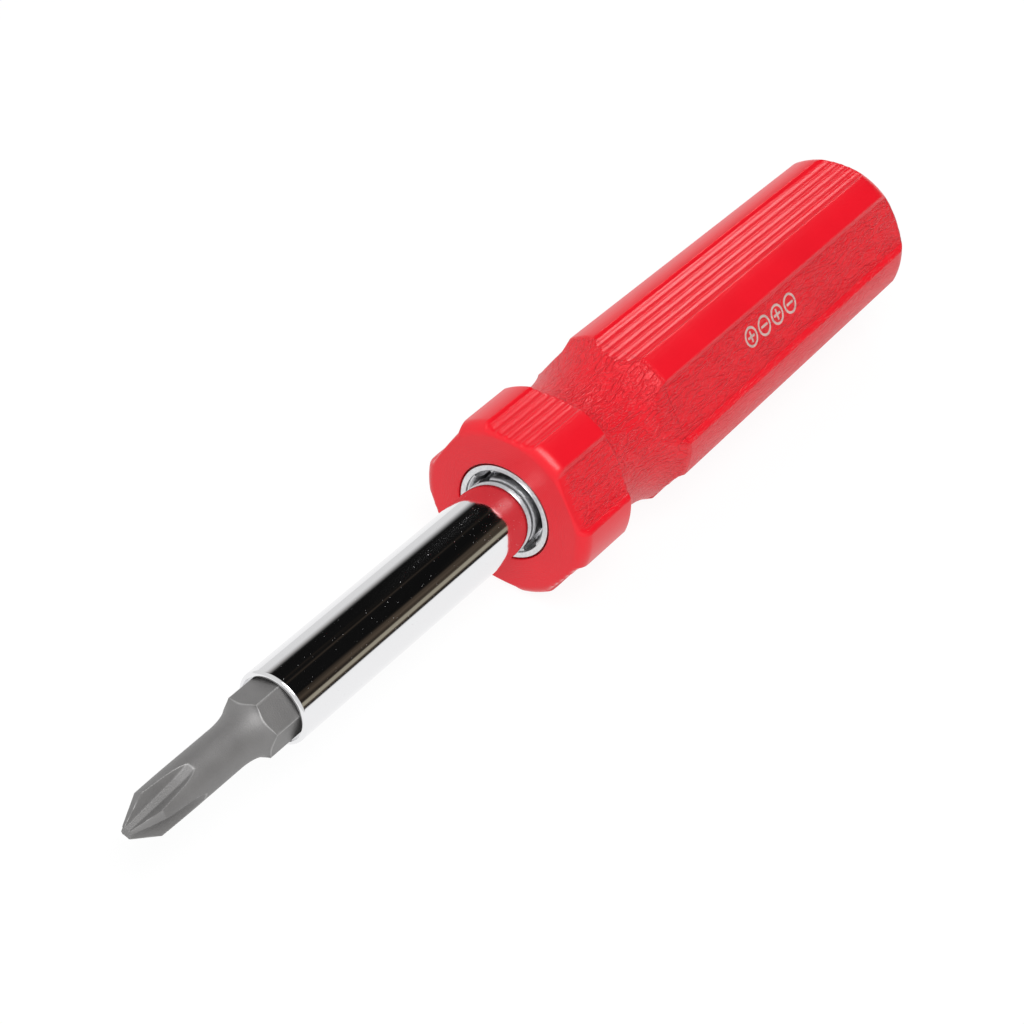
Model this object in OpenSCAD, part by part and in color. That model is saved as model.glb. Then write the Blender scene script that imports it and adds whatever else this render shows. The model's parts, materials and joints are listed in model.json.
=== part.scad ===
// Pocket screwdriver: a reversible tube with a double-ended bit in each end,
// held in a lobed moulded handle. The tool lies along X with its tip towards -X.

/* [Bits] */
// Width across the flats of the bit hexagon
bit_af = 6.35; // [6.2:0.01:6.5]
// Length of the full hexagon in the middle of a bit
hex_len = 28; // [24:0.5:34]
// Length of the round neck at each end of a bit
neck_len = 18.2; // [16:0.1:22]
// Length of the hollow flare between neck and hexagon
flare_len = 3.8; // [3:0.1:4.5]
// How far a bit stands out of the tube
bit_out = 21.6; // [20:0.1:26]
// Shank diameter of the front bit
front_shank_d = 4.94; // [4.4:0.02:5.4]
// Shank diameter of the rear bit
rear_shank_d = 5.8; // [5.5:0.02:6]
// Diameter of the blunt end of the front cross tip
front_point_d = 1.6; // [1.2:0.05:2]
// Diameter of the blunt end of the rear cross tip
rear_point_d = 2.2; // [1.8:0.05:2.6]
// Length of the cone of the front cross tip
front_cone_len = 3.1; // [2.6:0.1:3.6]
// Length of the cone of the rear cross tip
rear_cone_len = 3.4; // [2.8:0.1:4]
// Length of the four flutes of a cross tip
flute_len = 8.8; // [8:0.2:10]
// Width of the flat bottom of a flute
flute_floor_w = 0.75; // [0.5:0.05:0.8]
// Distance of a flute's floor from the axis at the tip
flute_core_r = 0.55; // [0.4:0.05:0.65]
// Length of the flattened part of a slot blade
blade_len = 9; // [7:0.25:12]
// Thickness of the front bit's slot blade
front_blade_t = 0.8; // [0.6:0.05:1]
// Thickness of the rear bit's slot blade
rear_blade_t = 1.1; // [0.9:0.05:1.4]

/* [Detents] */
// Diameter of a detent ball
ball_d = 2; // [1.8:0.05:2.2]
// Distance from the tube's mouth to a detent ball
ball_in = 9; // [6:0.25:12]
// Depth of the ball's blind hole below the flat
ball_hole_depth = 5; // [4.8:0.05:5.2]
// Wire diameter of a detent spring
wire_d = 0.22; // [0.18:0.01:0.26]
// Mean diameter of a detent spring's coils
coil_d = 1.4; // [1.3:0.02:1.5]
// Turns of a detent spring
coil_turns = 4; // [3:1:4]

/* [Tube] */
// Outer diameter of the shaft tube
tube_d = 8.64; // [8.4:0.02:9]
// Thickness of the web that stops the bits inside the tube
web_t = 1.5; // [1:0.1:2.5]
// Radius of the rounded edge of the tube's mouths
tube_edge_r = 0.42; // [0.3:0.02:0.44]
// Diameter of the round counterbore in the tube's mouths
mouth_bore_d = 7.7; // [7.56:0.02:7.8]
// Depth of that counterbore
mouth_bore_len = 1.1; // [0.6:0.1:2]
// Distance from the handle's face to the middle of the ears
ear_in = 4; // [3.5:0.1:5]
// Length of the pressed ears
ear_len = 2.8; // [2:0.1:3.5]
// Width of the pressed ears
ear_w = 2; // [1.6:0.05:2.4]
// Height of the pressed ears above the tube
ear_h = 0.62; // [0.5:0.02:0.66]
// Depth of the plain band around the middle of the tube
band_depth = 0.2; // [0.18:0.01:0.3]

/* [Handle] */
// Diameter over the lobes of the collar
collar_d = 21.4; // [20:0.1:23]
// Length of the collar from the front face to the end of its lands
collar_len = 9.05; // [8.5:0.05:10]
// Diameter of the flat of the front face
face_d = 18; // [17.4:0.1:18.4]
// Diameter that the rounded front edge grows to
dome_d = 21.2; // [20.8:0.1:21.3]
// Length of the rounded front edge
dome_len = 1.7; // [1.4:0.1:2]
// Length of the short rise from that edge to the lands
brow_len = 0.3; // [0.2:0.05:0.6]
// Length of the sloped step at the back of the collar
step_len = 1; // [0.6:0.1:1.5]
// Diameter at the foot of that step
step_foot_d = 18.6; // [18.2:0.1:18.7]
// Length of the hollow from the step to the narrowest place
neck_front_len = 3.45; // [3:0.05:4]
// Diameter of the narrowest place
waist_d = 17; // [16.6:0.1:17.4]
// Radius of the hollow flare behind the narrowest place
flare_r = 17; // [15:0.5:22]
// Diameter over the lobes at the front of the grip
grip_front_d = 20.94; // [20.2:0.02:22]
// Diameter over the lobes at the back of the grip
grip_rear_d = 19.76; // [19:0.02:20]
// Radius of the rounded back edge
butt_r = 3.2; // [2:0.1:3.6]
// Solid wall behind the bore
end_wall = 2.85; // [2.4:0.05:6]
// Angle that a ribbed panel covers
ribbed_angle = 36; // [33:0.5:38]
// Angle that a plain panel covers
plain_angle = 44; // [40:0.5:46]
// Angle that the plain panel underneath covers
base_angle = 38; // [36:0.5:42]
// Angle that each land covers, except the one that is left over
land_angle = 20; // [17:0.5:21]
// Depth of a plain panel below its chord
plain_depth = 0.5; // [0.3:0.05:0.6]
// Width of the slope along each side of a plain panel
plain_side_w = 0.8; // [0.4:0.05:1.2]
// Depth of a ribbed panel below its chord
ribbed_depth = 0.3; // [0.15:0.05:0.4]
// Width of the slope along each side of a ribbed panel
ribbed_side_w = 0.3; // [0.2:0.05:0.4]
// Distance between the flutes of a ribbed panel
rib_pitch = 1.08; // [1.02:0.01:1.1]
// Width of one flute of a ribbed panel
rib_w = 0.98; // [0.8:0.02:1]
// Depth of one flute of a ribbed panel
rib_depth = 0.12; // [0.1:0.01:0.2]
// Flutes on each ribbed panel
rib_count = 5; // [3:2:5]

/* [Mouth] */
// Diameter of the hole in the front face that the ferrule's lip lies in
mouth_d = 11.9; // [11.8:0.05:12.4]
// How deep the ferrule's lip lies behind the front face
lip_in = 0.1; // [0.05:0.05:0.3]
// Outer diameter of the ferrule's lip
lip_d = 11.5; // [11.2:0.02:11.6]
// Thickness of the ferrule's lip
lip_t = 1; // [0.6:0.05:1.2]
// Outer diameter of the ferrule's wall
ferrule_d = 10.9; // [10.8:0.02:11]
// Inner diameter of the ferrule
ferrule_bore_d = 10.2; // [10.16:0.02:10.3]
// Length of the ferrule
ferrule_len = 8; // [7.5:0.1:9]
// How deep the sleeve's front edge lies behind the lip
sleeve_in = 0.35; // [0.2:0.05:0.6]
// Length of the sleeve's bell mouth
bell_len = 1.9; // [1.4:0.1:2.2]
// Width across the flats of the sleeve's drive flange
flange_af = 12; // [11.4:0.1:13]
// Thickness of the sleeve's drive flange
flange_t = 2; // [1.5:0.1:3]
// Wire diameter of the retaining ring
ring_wire_d = 0.8; // [0.6:0.05:0.9]
// Distance from the drive flange to the retaining ring's groove
ring_gap = 1.2; // [0.8:0.1:2]

/* [Fits] */
// Gap on each side between a bit and the tube's hexagon
bit_gap = 0.05; // [0.03:0.01:0.06]
// Radial gap between the tube and the bores that guide it
tube_gap = 0.09; // [0.05:0.01:0.1]
// Gap between pieces that stay together
seat_gap = 0.02; // [0.01:0.01:0.03]
// Gap on each side between an ear and its keyway
key_gap = 0.06; // [0.04:0.01:0.1]
// Radial gap between a detent ball and its hole
ball_gap = 0.05; // [0.03:0.01:0.08]
// Gap between a detent ball and the tube's hexagon
ball_top_gap = 0.03; // [0.02:0.005:0.04]
// Radial gap between the retaining ring and the tube
ring_grip_gap = 0.03; // [0.02:0.01:0.05]
// Gap between a bit and the web that stops it
bit_seat_gap = 0.1; // [0.05:0.05:0.3]
// Gap between the rear bit and the floor of the handle's bore
floor_gap = 1; // [0.6:0.1:2]

/* [Hidden] */

$fn = 96;
// One overrun serves all cuts
overrun = 4;

// Turns of the panels about the axis, from the top towards the right of the tip
// One plain panel lies underneath, so that the tool rests on the lands beside it
base_turn = 180;
side_turn = base_angle / 2 + land_angle + ribbed_angle / 2;
next_turn = ribbed_angle / 2 + land_angle + plain_angle / 2;
ribbed_turns = [base_turn - side_turn, base_turn + side_turn, base_turn + side_turn + 2 * next_turn];
plain_turns = [base_turn + side_turn + next_turn, base_turn + side_turn + 3 * next_turn];
// The hexagon's corner and the cross tip's flutes share one angle
hex_angle = 11;
hex_pitch = 60;
ear_angle = -48;
ring_mouth_angle = 60;
// Half of the angle that a flute of a cross tip opens to
flute_half_angle = 46;
arc_steps = 12;

// Lengths along the tool, counted from the handle's front face
bit_len = 2 * neck_len + hex_len;
pocket_depth = bit_len - bit_out + bit_seat_gap;
tube_half = pocket_depth + web_t / 2;
tube_out = tube_half - ear_in;
tube_end = ear_in + tube_half;
bore_depth = tube_end + bit_out + floor_gap;
handle_len = bore_depth + end_wall;
tool_len = bit_out + tube_out + handle_len;
face_x = bit_out + tube_out - tool_len / 2;

// Radii of the handle
collar_r = collar_d / 2;
waist_r = waist_d / 2;
grip_front_r = grip_front_d / 2;
grip_rear_r = grip_rear_d / 2;
axis_z = collar_r * cos(base_angle / 2);
waist_at = collar_len + step_len + neck_front_len;
flare_rise = grip_front_r - waist_r;
grip_at = waist_at + sqrt(2 * flare_r * flare_rise - flare_rise * flare_rise);
grip_taper = atan((grip_front_r - grip_rear_r) / (handle_len - grip_at));
grip_mid_r = (grip_front_r + grip_rear_r) / 2;
grip_mid_at = (grip_at + handle_len) / 2;
butt_front_r = grip_rear_r + butt_r * tan(grip_taper);

// Radii inside the handle's mouth
tube_r = tube_d / 2;
guide_r = tube_r + tube_gap;
ear_r = tube_r + ear_h;
bore_af = bit_af + 2 * bit_gap;
ferrule_end = lip_in + ferrule_len;
sleeve_at = lip_in + sleeve_in;
sleeve_r = ferrule_bore_d / 2 - seat_gap;
flange_at = ferrule_end + seat_gap;
flange_end = flange_at + flange_t;
keyway_end = ear_in + ear_len / 2 + key_gap;
ring_at = flange_end + ring_gap + ring_wire_d / 2;
ring_r = tube_r + ring_grip_gap + ring_wire_d / 2;
groove_r = ring_r + ring_wire_d / 2 + seat_gap;

// Places of the detents, counted from a bit's outer end
ball_at = bit_out + ball_in;
ball_r = ball_d / 2;
ball_z = bore_af / 2 - ball_top_gap - ball_r;
hole_floor_z = bit_af / 2 - ball_hole_depth;
wire_r = wire_d / 2;
coil_r = coil_d / 2;
coil_low = hole_floor_z + wire_r + seat_gap;
coil_high = ball_z - sqrt(pow(ball_r + wire_r, 2) - coil_r * coil_r) - seat_gap;
wire_sides = 6;
rings_per_turn = 12;

// Radius that a hexagon's corners reach, from its width across the flats
function corner_r(af) = af / 2 / cos(30);
// Points on an ellipse about a centre, from one angle to another
function arc(c, rx, ry, a0, a1) =
    [for (i = [0 : arc_steps]) let (a = a0 + (a1 - a0) * i / arc_steps)
        [c[0] + rx * cos(a), c[1] + ry * sin(a)]];
// A list without its first point
function tail(points) = [for (i = [1 : len(points) - 1]) points[i]];
// Radius of a shallow hollow from its half width and its depth
function hollow_r(half_w, depth) = (half_w * half_w + depth * depth) / (2 * depth);

// Places its children on the tool's axis, this far behind the handle's face
module at(x) { translate([face_x + x, 0, axis_z]) children(); }
// Turns an outline of radius and distance about the tool's axis
module turned(points) { rotate([0, 90, 0]) rotate_extrude() polygon(points); }
// A round bar along the tool
module bar(r, len) { rotate([0, 90, 0]) cylinder(r = r, h = len); }
// A hexagonal bar along the tool
module hex_bar(af, len) {
    rotate([hex_angle, 0, 0]) rotate([0, 90, 0]) cylinder(r = corner_r(af), h = len, $fn = 6);
}

// Cutter for one panel of the lobed section: a flat floor between two slopes
module panel_cutter(r, len, angle, depth, side_w) {
    half_w = r * sin(angle / 2);
    chord_z = r * cos(angle / 2);
    rise = depth * overrun / side_w;
    rotate([90, 0, 90]) linear_extrude(len) polygon([
        [-half_w + side_w, chord_z - depth], [half_w - side_w, chord_z - depth],
        [half_w + overrun, chord_z + rise], [-half_w - overrun, chord_z + rise]]);
}

// Flutes of one ribbed panel
module flute_cutter(r, len) {
    flute_r = hollow_r(rib_w / 2, rib_depth);
    floor_z = r * cos(ribbed_angle / 2) - ribbed_depth;
    for (i = [-(rib_count - 1) / 2 : (rib_count - 1) / 2])
        translate([0, i * rib_pitch, floor_z - rib_depth + flute_r]) bar(flute_r, len);
}

// Cutters for all panels around the axis, ribbed and plain in turn
module panel_ring(r, len, at_mid, tilt) {
    rotate([base_turn, 0, 0]) tilted(at_mid, tilt)
        panel_cutter(r, len, base_angle, plain_depth, plain_side_w);
    for (turn = plain_turns)
        rotate([turn, 0, 0]) tilted(at_mid, tilt)
            panel_cutter(r, len, plain_angle, plain_depth, plain_side_w);
    for (turn = ribbed_turns)
        rotate([turn, 0, 0]) tilted(at_mid, tilt) {
            panel_cutter(r, len, ribbed_angle, ribbed_depth, ribbed_side_w);
            flute_cutter(r, len);
        }
}

// Tilts its children about a place on the axis, to follow the taper
module tilted(at_mid, tilt) {
    translate([at_mid, 0, 0]) rotate([0, tilt, 0]) translate([-at_mid, 0, 0]) children();
}

// Outline of the handle without its panels
module handle_blank() {
    turned(concat(
        [[0, 0]],
        arc([face_d / 2, dome_len], (dome_d - face_d) / 2, dome_len, -90, 0),
        [[collar_r, dome_len + brow_len], [collar_r, collar_len]],
        arc([step_foot_d / 2, waist_at], waist_r - step_foot_d / 2, -neck_front_len, 90, 0),
        tail(arc([waist_r + flare_r, waist_at], -flare_r, flare_r, 0,
                 asin((grip_at - waist_at) / flare_r))),
        arc([butt_front_r - butt_r, handle_len - butt_r], butt_r, butt_r, 0, 90),
        [[0, handle_len]]));
}

// Room inside the handle for the ferrule, sleeve, ring and shaft
module handle_bore() {
    translate([-overrun, 0, 0]) bar(mouth_d / 2, overrun + lip_in + lip_t + seat_gap);
    bar(ferrule_d / 2 + seat_gap, flange_at);
    translate([flange_at - seat_gap, 0, 0])
        hex_bar(flange_af + 2 * seat_gap, flange_t + 2 * seat_gap);
    translate([ring_at - ring_wire_d / 2 - seat_gap, 0, 0])
        bar(groove_r, ring_wire_d + 2 * seat_gap);
    bar(guide_r, bore_depth);
}

module handle() {
    color([0.86, 0.10, 0.14])
    at(0) difference() {
        handle_blank();
        translate([-overrun, 0, 0]) panel_ring(collar_r, overrun + waist_at, 0, 0);
        translate([waist_at, 0, 0])
            panel_ring(grip_mid_r, handle_len - waist_at + overrun, grip_mid_at - waist_at, grip_taper);
        handle_bore();
    }
}

module ferrule() {
    color([0.82, 0.83, 0.84])
    at(lip_in) turned([
        [ferrule_bore_d / 2, 0], [lip_d / 2, 0], [lip_d / 2, lip_t], [ferrule_d / 2, lip_t],
        [ferrule_d / 2, ferrule_len], [ferrule_bore_d / 2, ferrule_len]]);
}

module drive_sleeve() {
    color([0.62, 0.63, 0.65])
    at(0) difference() {
        union() {
            translate([sleeve_at, 0, 0]) bar(sleeve_r, flange_end - sleeve_at);
            translate([flange_at, 0, 0]) hex_bar(flange_af, flange_t);
        }
        translate([sleeve_at - overrun, 0, 0]) bar(guide_r, flange_end - sleeve_at + 2 * overrun);
        // The bell mouth leads the tube in
        translate([sleeve_at, 0, 0]) turned(concat([[0, 0]],
            arc([sleeve_r, bell_len], guide_r - sleeve_r, -bell_len, 90, 0), [[0, bell_len]]));
        rotate([ear_angle, 0, 0])
            translate([sleeve_at - overrun, -ear_w / 2 - key_gap, -ferrule_d / 2])
                cube([keyway_end - sleeve_at + overrun, ear_w + 2 * key_gap, ferrule_d]);
    }
}

module retaining_ring() {
    color([0.45, 0.46, 0.48])
    at(ring_at) rotate([0, 90, 0])
        rotate_extrude(angle = 360 - ring_mouth_angle) translate([ring_r, 0]) circle(ring_wire_d / 2);
}

// One half of the tube's outline, from its middle to its mouth
module tube_half_blank() {
    turned(concat(
        [[0, 0], [tube_r - band_depth, 0], [tube_r - band_depth, ear_in], [tube_r, ear_in]],
        arc([tube_r - tube_edge_r, tube_half - tube_edge_r], tube_edge_r, tube_edge_r, 0, 90),
        [[0, tube_half]]));
}

module shaft_tube() {
    color([0.80, 0.81, 0.82])
    at(ear_in) difference() {
        union() {
            tube_half_blank();
            mirror([1, 0, 0]) tube_half_blank();
            intersection() {
                translate([-ear_len / 2, 0, 0]) bar(ear_r, ear_len);
                rotate([ear_angle, 0, 0]) translate([-ear_len / 2, -ear_w / 2, -ear_r - overrun])
                    cube([ear_len, ear_w, 2 * (ear_r + overrun)]);
            }
        }
        translate([-tube_half - overrun, 0, 0]) hex_bar(bore_af, pocket_depth + overrun);
        translate([web_t / 2, 0, 0]) hex_bar(bore_af, pocket_depth + overrun);
        for (side = [0, 1])
            mirror([side, 0, 0]) translate([tube_half - mouth_bore_len, 0, 0])
                bar(mouth_bore_d / 2, mouth_bore_len + overrun);
    }
}

// Round body of a bit: cross tip, neck, hexagon clearance, neck and blade end
module bit_blank(shank_r, point_r, cone_len) {
    hex_r = corner_r(bit_af) + seat_gap;
    turned(concat(
        [[0, 0], [point_r, 0], [shank_r, cone_len]],
        arc([hex_r, neck_len - flare_len], shank_r - hex_r, flare_len, 0, 90),
        arc([hex_r, bit_len - neck_len + flare_len], shank_r - hex_r, -flare_len, 90, 0),
        [[shank_r, bit_len], [0, bit_len]]));
}

// Four flutes of a cross tip, shallower towards the shank
module flutes(shank_r) {
    open_w = flute_floor_w / 2 + shank_r * tan(flute_half_angle);
    slope = atan((shank_r - flute_core_r) / flute_len);
    for (i = [0 : 3])
        rotate([hex_angle + 90 * i, 0, 0])
            translate([0, 0, flute_core_r]) rotate([0, -slope, 0])
                translate([-overrun, 0, 0]) rotate([90, 0, 90])
                    linear_extrude(flute_len + 2 * overrun) polygon([
                        [-flute_floor_w / 2, 0], [flute_floor_w / 2, 0],
                        [open_w, shank_r], [-open_w, shank_r]]);
}

// The two slopes that flatten the end of a bit into a slot blade
module blade_slopes(shank_r, blade_t) {
    for (side = [0, 180])
        rotate([hex_angle + side, 0, 0])
            rotate([90, 0, 0]) translate([0, 0, -shank_r - overrun])
                linear_extrude(2 * (shank_r + overrun)) polygon([
                    [bit_len - blade_len, shank_r], [bit_len, blade_t / 2],
                    [bit_len + overrun, blade_t / 2], [bit_len + overrun, shank_r + overrun],
                    [bit_len - blade_len, shank_r + overrun]]);
}

module bit(shank_r, point_r, cone_len, blade_t) {
    difference() {
        intersection() {
            bit_blank(shank_r, point_r, cone_len);
            hex_bar(bit_af, bit_len);
        }
        flutes(shank_r);
        blade_slopes(shank_r, blade_t);
        on_flat() translate([0, 0, hole_floor_z])
            cylinder(r = ball_r + ball_gap, h = ball_hole_depth + overrun);
    }
}

// The place on a bit's flat where its detent sits
module on_flat() { translate([ball_at, 0, 0]) rotate([hex_angle + hex_pitch / 2, 0, 0]) children(); }
// A bit's own frame, which starts at its cross tip
module front_place() { at(-bit_out - tube_out) children(); }
module rear_place() { at(bore_depth - floor_gap) mirror([1, 0, 0]) children(); }

// Spring coil as one unbroken wire from the hole's floor to the ball
module coil() {
    rings = coil_turns * rings_per_turn;
    points = [for (i = [0 : rings], j = [0 : wire_sides - 1])
        let (a = 360 * i / rings_per_turn, b = 360 * j / wire_sides,
             r = coil_r + wire_r * cos(b),
             z = coil_low + (coil_high - coil_low) * i / rings + wire_r * sin(b))
        [r * cos(a), r * sin(a), z]];
    sides = [for (i = [0 : rings - 1], j = [0 : wire_sides - 1])
        let (k = (j + 1) % wire_sides, p = i * wire_sides, q = p + wire_sides)
        each [[p + j, q + j, q + k], [p + j, q + k, p + k]]];
    caps = [for (j = [1 : wire_sides - 2])
        let (e = rings * wire_sides) each [[0, j, j + 1], [e, e + j + 1, e + j]]];
    polyhedron(points, concat(sides, caps));
}

module front_bit() {
    color([0.47, 0.47, 0.48])
    front_place() bit(front_shank_d / 2, front_point_d / 2, front_cone_len, front_blade_t);
}

module front_detent_ball() {
    color([0.75, 0.76, 0.78]) front_place() on_flat() translate([0, 0, ball_z]) sphere(ball_r);
}

module front_detent_spring() { color([0.55, 0.56, 0.58]) front_place() on_flat() coil(); }

module rear_bit() {
    color([0.47, 0.47, 0.48])
    rear_place() bit(rear_shank_d / 2, rear_point_d / 2, rear_cone_len, rear_blade_t);
}

module rear_detent_ball() {
    color([0.75, 0.76, 0.78]) rear_place() on_flat() translate([0, 0, ball_z]) sphere(ball_r);
}

module rear_detent_spring() { color([0.55, 0.56, 0.58]) rear_place() on_flat() coil(); }

handle();
ferrule();
drive_sleeve();
retaining_ring();
shaft_tube();
front_bit();
front_detent_ball();
front_detent_spring();
rear_bit();
rear_detent_ball();
rear_detent_spring();
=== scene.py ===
"""Pocket screwdriver: models the handle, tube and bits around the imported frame, and lights them."""

import json
import math

import bpy
import numpy as np
from mathutils import Matrix, Vector


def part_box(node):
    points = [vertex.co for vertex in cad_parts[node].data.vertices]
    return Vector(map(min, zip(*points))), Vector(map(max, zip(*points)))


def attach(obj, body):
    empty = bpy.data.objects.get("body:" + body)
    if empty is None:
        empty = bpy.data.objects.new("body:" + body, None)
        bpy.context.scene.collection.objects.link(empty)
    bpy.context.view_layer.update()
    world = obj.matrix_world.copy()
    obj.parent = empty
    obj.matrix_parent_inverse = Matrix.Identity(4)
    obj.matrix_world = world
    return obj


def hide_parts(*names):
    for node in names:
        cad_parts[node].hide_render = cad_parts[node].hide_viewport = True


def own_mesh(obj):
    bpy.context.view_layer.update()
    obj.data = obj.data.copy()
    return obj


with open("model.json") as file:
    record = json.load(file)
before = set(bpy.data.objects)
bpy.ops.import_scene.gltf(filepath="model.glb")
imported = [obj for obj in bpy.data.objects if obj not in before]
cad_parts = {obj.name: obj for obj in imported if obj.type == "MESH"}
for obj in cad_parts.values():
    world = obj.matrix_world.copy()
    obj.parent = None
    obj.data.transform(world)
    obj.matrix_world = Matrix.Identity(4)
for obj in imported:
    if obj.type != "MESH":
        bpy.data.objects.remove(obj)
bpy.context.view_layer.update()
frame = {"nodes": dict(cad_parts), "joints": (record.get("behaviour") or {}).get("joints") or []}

bl_info = {
    "name": "Pocket Screwdriver",
    "version": (1, 0, 0),
    "blender": (4, 5, 0),
    "location": "3D View > Sidebar > Screwdriver",
    "description": "Models the handle, mouth, tube and bits around the packed frame and sets up a studio",
    "category": "Object",
}

MM = 0.001

# Places that the frame gives
HANDLE_LOW, HANDLE_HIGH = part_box("handle")
TUBE_LOW, TUBE_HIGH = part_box("shaft_tube")
FERRULE_LOW, FERRULE_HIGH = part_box("ferrule")
SLEEVE_LOW, SLEEVE_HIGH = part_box("drive_sleeve")
RING_LOW, RING_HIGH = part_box("retaining_ring")
FRONT_BIT_LOW, FRONT_BIT_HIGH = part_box("front_bit")
REAR_BIT_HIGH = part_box("rear_bit")[1]

AXIS_Z = (TUBE_LOW[2] + TUBE_HIGH[2]) / 2
TUBE_RADIUS = (TUBE_HIGH[2] - TUBE_LOW[2]) / 2
LIP_RADIUS = (FERRULE_HIGH[2] - FERRULE_LOW[2]) / 2
RING_RADIUS = (RING_HIGH[2] - RING_LOW[2]) / 2
FACE_X = HANDLE_LOW[0]
BIT_LENGTH = FRONT_BIT_HIGH[0] - FRONT_BIT_LOW[0]
LIP_IN = FERRULE_LOW[0] - FACE_X
FERRULE_END = FERRULE_HIGH[0] - FACE_X
SLEEVE_IN = SLEEVE_LOW[0] - FACE_X
SLEEVE_END = SLEEVE_HIGH[0] - FACE_X
RING_IN = RING_LOW[0] - FACE_X
RING_END = RING_HIGH[0] - FACE_X
HANDLE_LENGTH = HANDLE_HIGH[0] - FACE_X
TUBE_FRONT = TUBE_LOW[0] - FACE_X
TUBE_BACK = TUBE_HIGH[0] - FACE_X
TUBE_MIDDLE = (TUBE_FRONT + TUBE_BACK) / 2

# Room between the rear bit and the floor of the handle's bore
FLOOR_GAP = 1.0 * MM
BORE_END = REAR_BIT_HIGH[0] - FACE_X + FLOOR_GAP

# How far a cutting tool reaches past what it cuts, and the distance within which points are one
OVERRUN = 1.0 * MM
MERGE = 0.001 * MM

# Columns around the turned pieces, and sides of a hexagon
HANDLE_STEPS = 540
MOUTH_STEPS = 144
TUBE_STEPS = 192
BIT_STEPS = 360
HEXAGON = 6

# Longest steps along the handle's outline, at its front and on its straight grip
FRONT_STEP = 0.6 * MM
GRIP_STEP = 1.2 * MM

# Sides of a spring's wire, and its sections in each turn
WIRE_SIDES = 12
WIRE_STEPS = 48

# The image that the camera's pixel places refer to, and the width of its sensor in millimetres
IMAGE_SIDE = 1024
SENSOR_WIDTH = 36

# Softboxes as place and side in metres and power in watts
SOFTBOXES = {"key": ((-0.156, -0.196, 0.545), 0.35, 2.7), "back": ((0.235, 0.077, 0.19), 0.08, 0.15)}

# Places of the colours among the sockets of a Mix node
MIX_FIRST, MIX_SECOND, MIX_RESULT = 6, 7, 2


def length(name, description, default):
    """A length setting whose default is in metres."""
    return bpy.props.FloatProperty(name=name, description=description, default=default,
                                   unit="LENGTH", precision=5)


def number(name, description, default):
    """A setting that is a plain number."""
    return bpy.props.FloatProperty(name=name, description=description, default=default)


def angle(name, description, degrees):
    """An angle setting whose default is given in degrees."""
    return bpy.props.FloatProperty(name=name, description=description, default=math.radians(degrees),
                                   subtype="ANGLE")


def colour(name, description, default):
    """A linear colour setting."""
    return bpy.props.FloatVectorProperty(name=name, description=description, default=default,
                                         subtype="COLOR", size=3, min=0, max=1)


class HandleSettings(bpy.types.PropertyGroup):
    """Sizes and colour of the moulded handle."""
    collar_radius: length("Collar radius", "Radius over the lobes of the collar", 10.7 * MM)
    collar_length: length("Collar length", "From the front face to the end of the collar", 9.05 * MM)
    face_radius: length("Face radius", "Radius at which the front face turns into its brow", 9.3 * MM)
    brow_length: length("Brow length", "Length of the rounded brow around the front face", 1.6 * MM)
    mouth_radius: length("Mouth radius", "Radius of the hole in the front face", 5.95 * MM)
    step_foot: length("Step foot", "Where the slope behind the collar ends", 10.05 * MM)
    step_foot_radius: length("Step foot radius", "Radius at the foot of that slope", 9.15 * MM)
    neck_bend: length("Neck bend", "Where the two slopes of the neck would meet", 16.38 * MM)
    neck_bend_radius: length("Neck bend radius", "Radius at which those slopes would meet", 7.75 * MM)
    neck_round: length("Neck rounding", "Radius of the hollow between those slopes", 15.5 * MM)
    grip_front: length("Grip front", "Where the lands of the grip begin", 21.5 * MM)
    grip_front_radius: length("Grip front radius", "Radius over the lobes at the grip's front", 10.47 * MM)
    grip_rear_radius: length("Grip rear radius", "Radius over the lobes at the grip's back", 9.88 * MM)
    butt_round: length("Butt rounding", "Radius of the rounded back edge", 3.2 * MM)
    ribbed: angle("Ribbed panel", "Angle that a ribbed panel covers", 36)
    plain: angle("Plain panel", "Angle that a plain panel covers", 44)
    base: angle("Base panel", "Angle that the plain panel underneath covers", 38)
    land: angle("Land", "Angle that each land covers, except the one that is left over", 20)
    plain_depth: length("Plain depth", "Depth of a plain panel below its chord", 0.5 * MM)
    plain_side: length("Plain side", "Width of the slope along each side of a plain panel", 0.8 * MM)
    ribbed_depth: length("Ribbed depth", "Depth of a ribbed panel below its chord", 0.3 * MM)
    ribbed_side: length("Ribbed side", "Width of the slope along each side of a ribbed panel", 0.3 * MM)
    rib_pitch: length("Rib pitch", "Distance between the flutes of a ribbed panel", 1.08 * MM)
    rib_depth: length("Rib depth", "Depth of those flutes", 0.12 * MM)
    edge: length("Edge softness", "How softly lands and panels meet", 0.1 * MM)
    front_edge: length("Front softness", "How much softer they meet at the front face", 0.6 * MM)
    ring_pitch: length("Ring pitch", "Distance between the faint turned rings on the front face", 0.24 * MM)
    mark_place: length("Mark place", "Where the middle of the printed marks lies", 42.85 * MM)
    mark_pitch: length("Mark pitch", "Distance between the printed marks", 2.9 * MM)
    mark_radius: length("Mark radius", "Radius of a mark's ring", 1.1 * MM)
    mark_line: length("Mark line", "Width of the lines of a mark", 0.3 * MM)
    mark_shift: length("Mark shift", "How far the marks lie above the middle of their panel", 0.8 * MM)
    red: colour("Red", "Colour of the moulded plastic", (0.74, 0.008, 0.019))
    print_colour: colour("Print", "Colour of the small printed marks", (0.56, 0.4, 0.37))


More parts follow.
